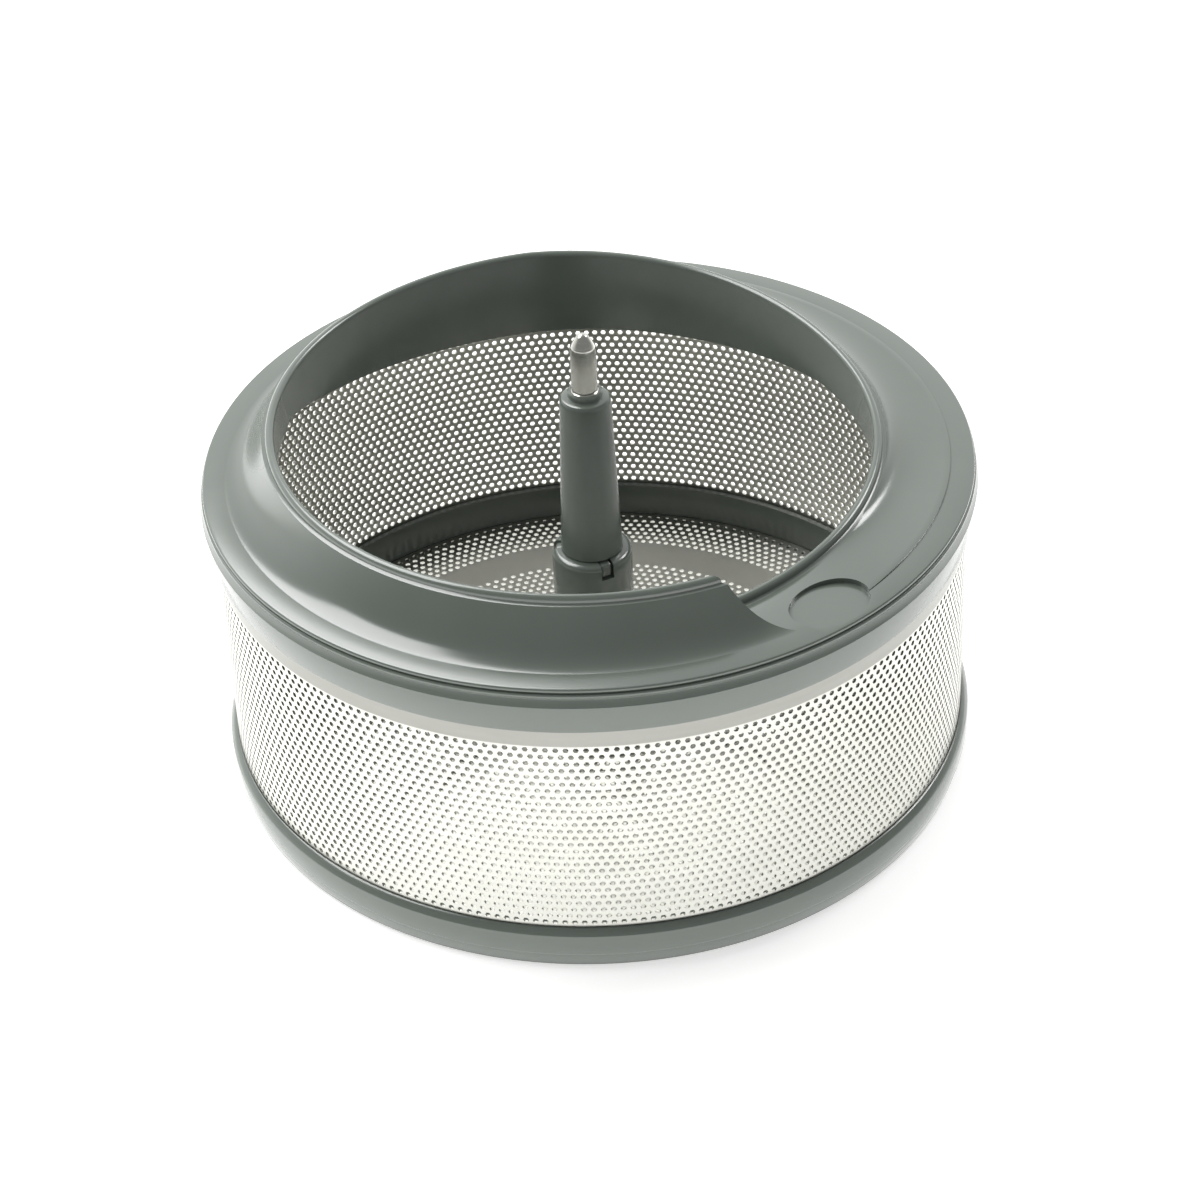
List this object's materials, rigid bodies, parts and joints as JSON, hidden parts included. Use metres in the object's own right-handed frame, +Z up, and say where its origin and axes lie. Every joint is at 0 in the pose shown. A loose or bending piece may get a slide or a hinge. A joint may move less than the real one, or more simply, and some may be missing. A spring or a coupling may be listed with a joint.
{
  "type": "juicer mesh screen",
  "caption": "Round strainer basket for a juicer: perforated steel wall and floor in a moulded base, a spiral stepped collar on top and a post with a steel pin in the centre.",
  "frame": {"origin": "centre of the base's underside, on the surface it stands on", "axes": "+Z up along the post, -Y towards the camera, +X to the right in the picture; the collar's step is at the front right"},
  "size_m": [0.15, 0.15, 0.0922],
  "materials": {
    "dark_plastic": "polished moulding, dark grey",
    "steel_sheet": "bright perforated sheet",
    "pin_steel": "ground and polished"
  },
  "bodies": {
    "root": {"collar": "dark_plastic", "wall_screen": "steel_sheet", "base_frame": "dark_plastic", "floor_screen": "steel_sheet", "spindle_post": "dark_plastic", "spindle_pin": "pin_steel"}
  },
  "joints": []
}
